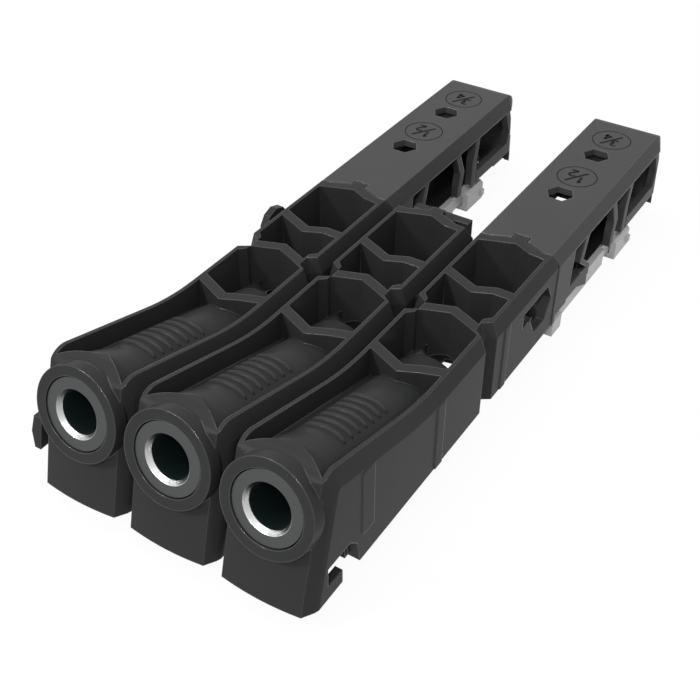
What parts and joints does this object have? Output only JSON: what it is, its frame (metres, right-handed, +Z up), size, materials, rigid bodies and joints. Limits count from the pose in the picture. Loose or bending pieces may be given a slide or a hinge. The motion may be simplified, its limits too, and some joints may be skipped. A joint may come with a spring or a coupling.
{
  "type": "pocket hole jig",
  "caption": "Pocket hole jig: coupled moulded drill guides with steel bushings tilted 15 degrees, and sliding board stops on rear arms.",
  "frame": {"origin": "centre of the bounding box in X and Y, at its lowest point in Z: the lower edge of the stops' rear blocks", "axes": "+X to the right across the guides, +Y from the drill's mouth to the rear along the arms, +Z up from the board"},
  "size_m": [0.0758, 0.185, 0.0374],
  "materials": {
    "black_moulding": "satin glass-filled nylon",
    "hardened_steel": "turned and hardened",
    "pad_rubber": "matt rubber",
    "grey_moulding": "satin moulded",
    "spring_steel": "rolled"
  },
  "bodies": {
    "guide_left": {"drill_bushing_left": "hardened_steel", "grip_pad_front_left": "pad_rubber", "grip_pad_rear_left": "pad_rubber", "guide_body_left": "black_moulding", "stop_arm_left": "black_moulding"},
    "guide_middle": {"drill_bushing_middle": "hardened_steel", "grip_pad_front_middle": "pad_rubber", "grip_pad_rear_middle": "pad_rubber", "guide_body_middle": "black_moulding"},
    "guide_right": {"drill_bushing_right": "hardened_steel", "grip_pad_front_right": "pad_rubber", "grip_pad_rear_right": "pad_rubber", "guide_body_right": "black_moulding", "stop_arm_right": "black_moulding"},
    "stop_left": {"stop_carriage_left": "black_moulding", "stop_sled_left": "grey_moulding", "stop_spring_left": "spring_steel"},
    "stop_right": {"stop_carriage_right": "black_moulding", "stop_sled_right": "grey_moulding", "stop_spring_right": "spring_steel"}
  },
  "joints": [
    {"name": "left_guide_lock", "type": "slide", "parent": "guide_middle", "child": "guide_left", "axis": [0, 1, 0], "range_m": [-0.005, 0]},
    {"name": "right_guide_lock", "type": "slide", "parent": "guide_middle", "child": "guide_right", "axis": [0, 1, 0], "range_m": [0, 0.005]},
    {"name": "left_stop_slide", "type": "slide", "parent": "guide_left", "child": "stop_left", "axis": [0, 1, 0], "range_m": [0, 0.012]},
    {"name": "right_stop_slide", "type": "slide", "parent": "guide_right", "child": "stop_right", "axis": [0, 1, 0], "range_m": [0, 0.012]}
  ]
}
